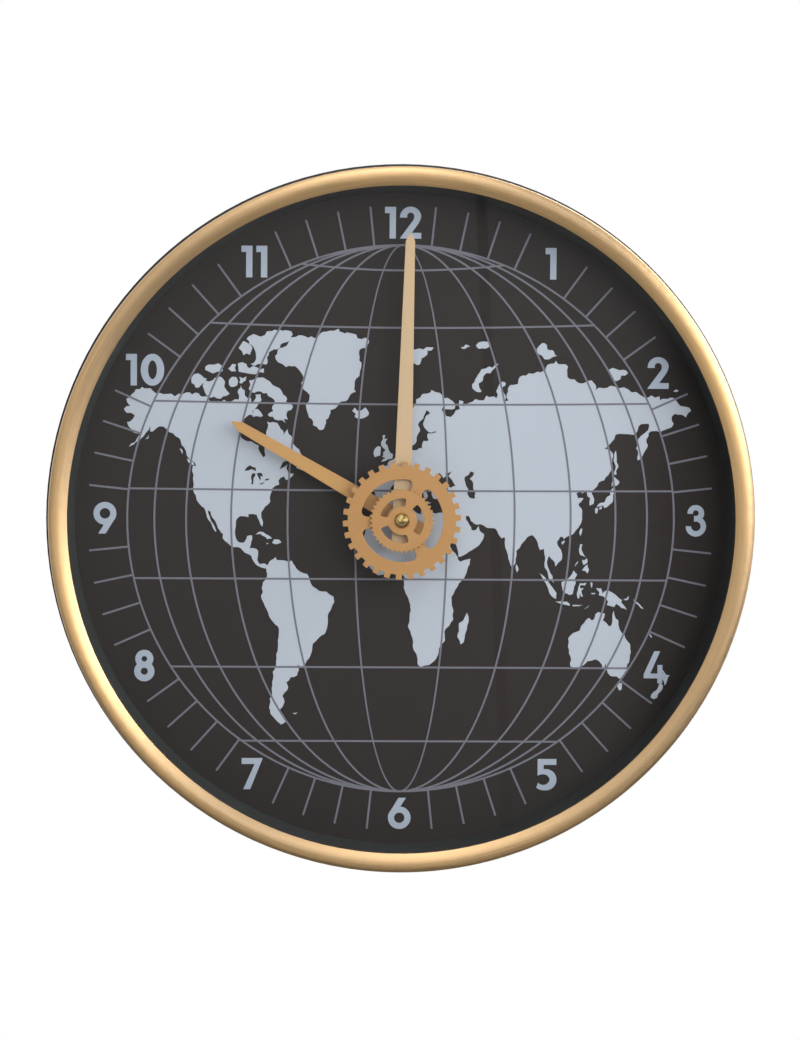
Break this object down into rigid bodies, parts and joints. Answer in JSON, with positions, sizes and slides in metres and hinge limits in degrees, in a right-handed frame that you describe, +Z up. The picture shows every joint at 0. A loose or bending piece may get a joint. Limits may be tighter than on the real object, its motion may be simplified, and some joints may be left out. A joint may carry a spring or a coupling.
{
  "type": "wall clock",
  "caption": "Round wall clock with a gold bezel, flat glass, black dial with world map and globe grid, gold hands, ornamental gears on the axis and a geared quartz movement behind.",
  "frame": {"origin": "where the hand axis meets the wall plane behind the case", "axes": "+Z up, +X to the right seen from the front, the dial faces -Y and +Y points into the wall"},
  "size_m": [0.35, 0.0447, 0.35],
  "materials": {
    "black_plastic": "moulded satin black",
    "movement_plastic": "moulded satin",
    "gold_bezel": "brushed round the ring, gold anodised",
    "glass": "clear flat glass",
    "rubber": "soft black",
    "dial_black": "satin black",
    "silver_print": "matt silver print",
    "grey_print": "matt grey print",
    "gold_paint": "matt gold paint",
    "pale_gold_paint": "matt pale gold paint",
    "brass": "polished",
    "steel": "bright",
    "wheel_plastic": "moulded white",
    "copper": "enamelled wire",
    "board": "lacquered",
    "chip": "potting resin",
    "magnet": "sintered",
    "battery_jacket": "plain jacket"
  },
  "bodies": {
    "case": {"rear_case": "black_plastic", "bezel_ring": "gold_bezel", "bezel_screws": "steel", "lens_glass": "glass", "lens_seal": "rubber", "spacer_ring": "black_plastic", "dial_plate": "dial_black", "dial_map": "silver_print", "dial_graticule": "grey_print", "dial_ticks": "grey_print", "dial_numerals": "silver_print", "hanger_plate": "steel", "hanger_screws": "steel", "movement_base": "movement_plastic", "movement_cover": "movement_plastic", "threaded_bush": "brass", "bush_nut": "brass", "brass_washer": "brass", "rubber_washer": "rubber", "circuit_board": "board", "quartz_crystal": "steel", "clock_chip": "chip", "coil_core": "steel", "coil_bobbin": "wheel_plastic", "coil_winding": "copper", "stator": "steel", "negative_contact": "steel", "positive_contact": "steel"},
    "hour": {"hour_wheel": "wheel_plastic", "hour_hand": "gold_paint", "hour_collet": "gold_paint"},
    "minute": {"minute_pipe": "wheel_plastic", "clutch_spring": "brass", "minute_hand": "pale_gold_paint", "minute_collet": "brass"},
    "seconds": {"seconds_wheel": "wheel_plastic", "gear_hub": "brass", "large_gear": "gold_paint", "small_gear": "gold_paint", "gear_spacer": "gold_paint", "dome_cap": "brass"},
    "centre": {"centre_wheel": "wheel_plastic"},
    "third": {"third_wheel": "wheel_plastic"},
    "intermediate": {"intermediate_wheel": "wheel_plastic"},
    "rotor": {"rotor_pinion": "brass", "rotor_magnet": "magnet"},
    "motion": {"motion_wheel": "wheel_plastic"},
    "setting": {"setting_arbor": "wheel_plastic", "setting_knob": "black_plastic"},
    "battery": {"battery": "battery_jacket"}
  },
  "joints": [
    {"name": "seconds_spin", "type": "hinge", "parent": "case", "child": "seconds", "pos_m": [0, -0.01, 0], "axis": [0, 1, 0], "continuous": true},
    {"name": "centre_spin", "type": "hinge", "parent": "case", "child": "centre", "pos_m": [0, -0.01, 0], "axis": [0, 1, 0], "continuous": true},
    {"name": "third_spin", "type": "hinge", "parent": "case", "child": "third", "pos_m": [-0.00842, -0.01, 0.00486], "axis": [0, 1, 0], "continuous": true},
    {"name": "intermediate_spin", "type": "hinge", "parent": "case", "child": "intermediate", "pos_m": [0.0049, -0.01, 0.00849], "axis": [0, 1, 0], "continuous": true},
    {"name": "rotor_spin", "type": "hinge", "parent": "case", "child": "rotor", "pos_m": [0.0095, -0.01, 0.01234], "axis": [0, 1, 0], "continuous": true},
    {"name": "minute_spin", "type": "hinge", "parent": "case", "child": "minute", "pos_m": [0, -0.01, 0], "axis": [0, 1, 0], "continuous": true},
    {"name": "hour_spin", "type": "hinge", "parent": "case", "child": "hour", "pos_m": [0, -0.01, 0], "axis": [0, 1, 0], "continuous": true},
    {"name": "motion_spin", "type": "hinge", "parent": "case", "child": "motion", "pos_m": [0.01008, -0.01, 0], "axis": [0, 1, 0], "continuous": true},
    {"name": "setting_spin", "type": "hinge", "parent": "case", "child": "setting", "pos_m": [0.02142, -0.01, 0], "axis": [0, 1, 0], "continuous": true},
    {"name": "battery_slide", "type": "slide", "parent": "case", "child": "battery", "axis": [0, 1, 0], "range_m": [0, 0.02]}
  ],
  "couplings": [
    {"joint": "intermediate_spin", "follows": "seconds_spin", "ratio": -6},
    {"joint": "rotor_spin", "follows": "seconds_spin", "ratio": 30},
    {"joint": "third_spin", "follows": "seconds_spin", "ratio": -0.125},
    {"joint": "centre_spin", "follows": "seconds_spin", "ratio": 0.016667},
    {"joint": "motion_spin", "follows": "minute_spin", "ratio": -0.33333},
    {"joint": "hour_spin", "follows": "minute_spin", "ratio": 0.083333},
    {"joint": "setting_spin", "follows": "minute_spin", "ratio": 0.66667}
  ]
}
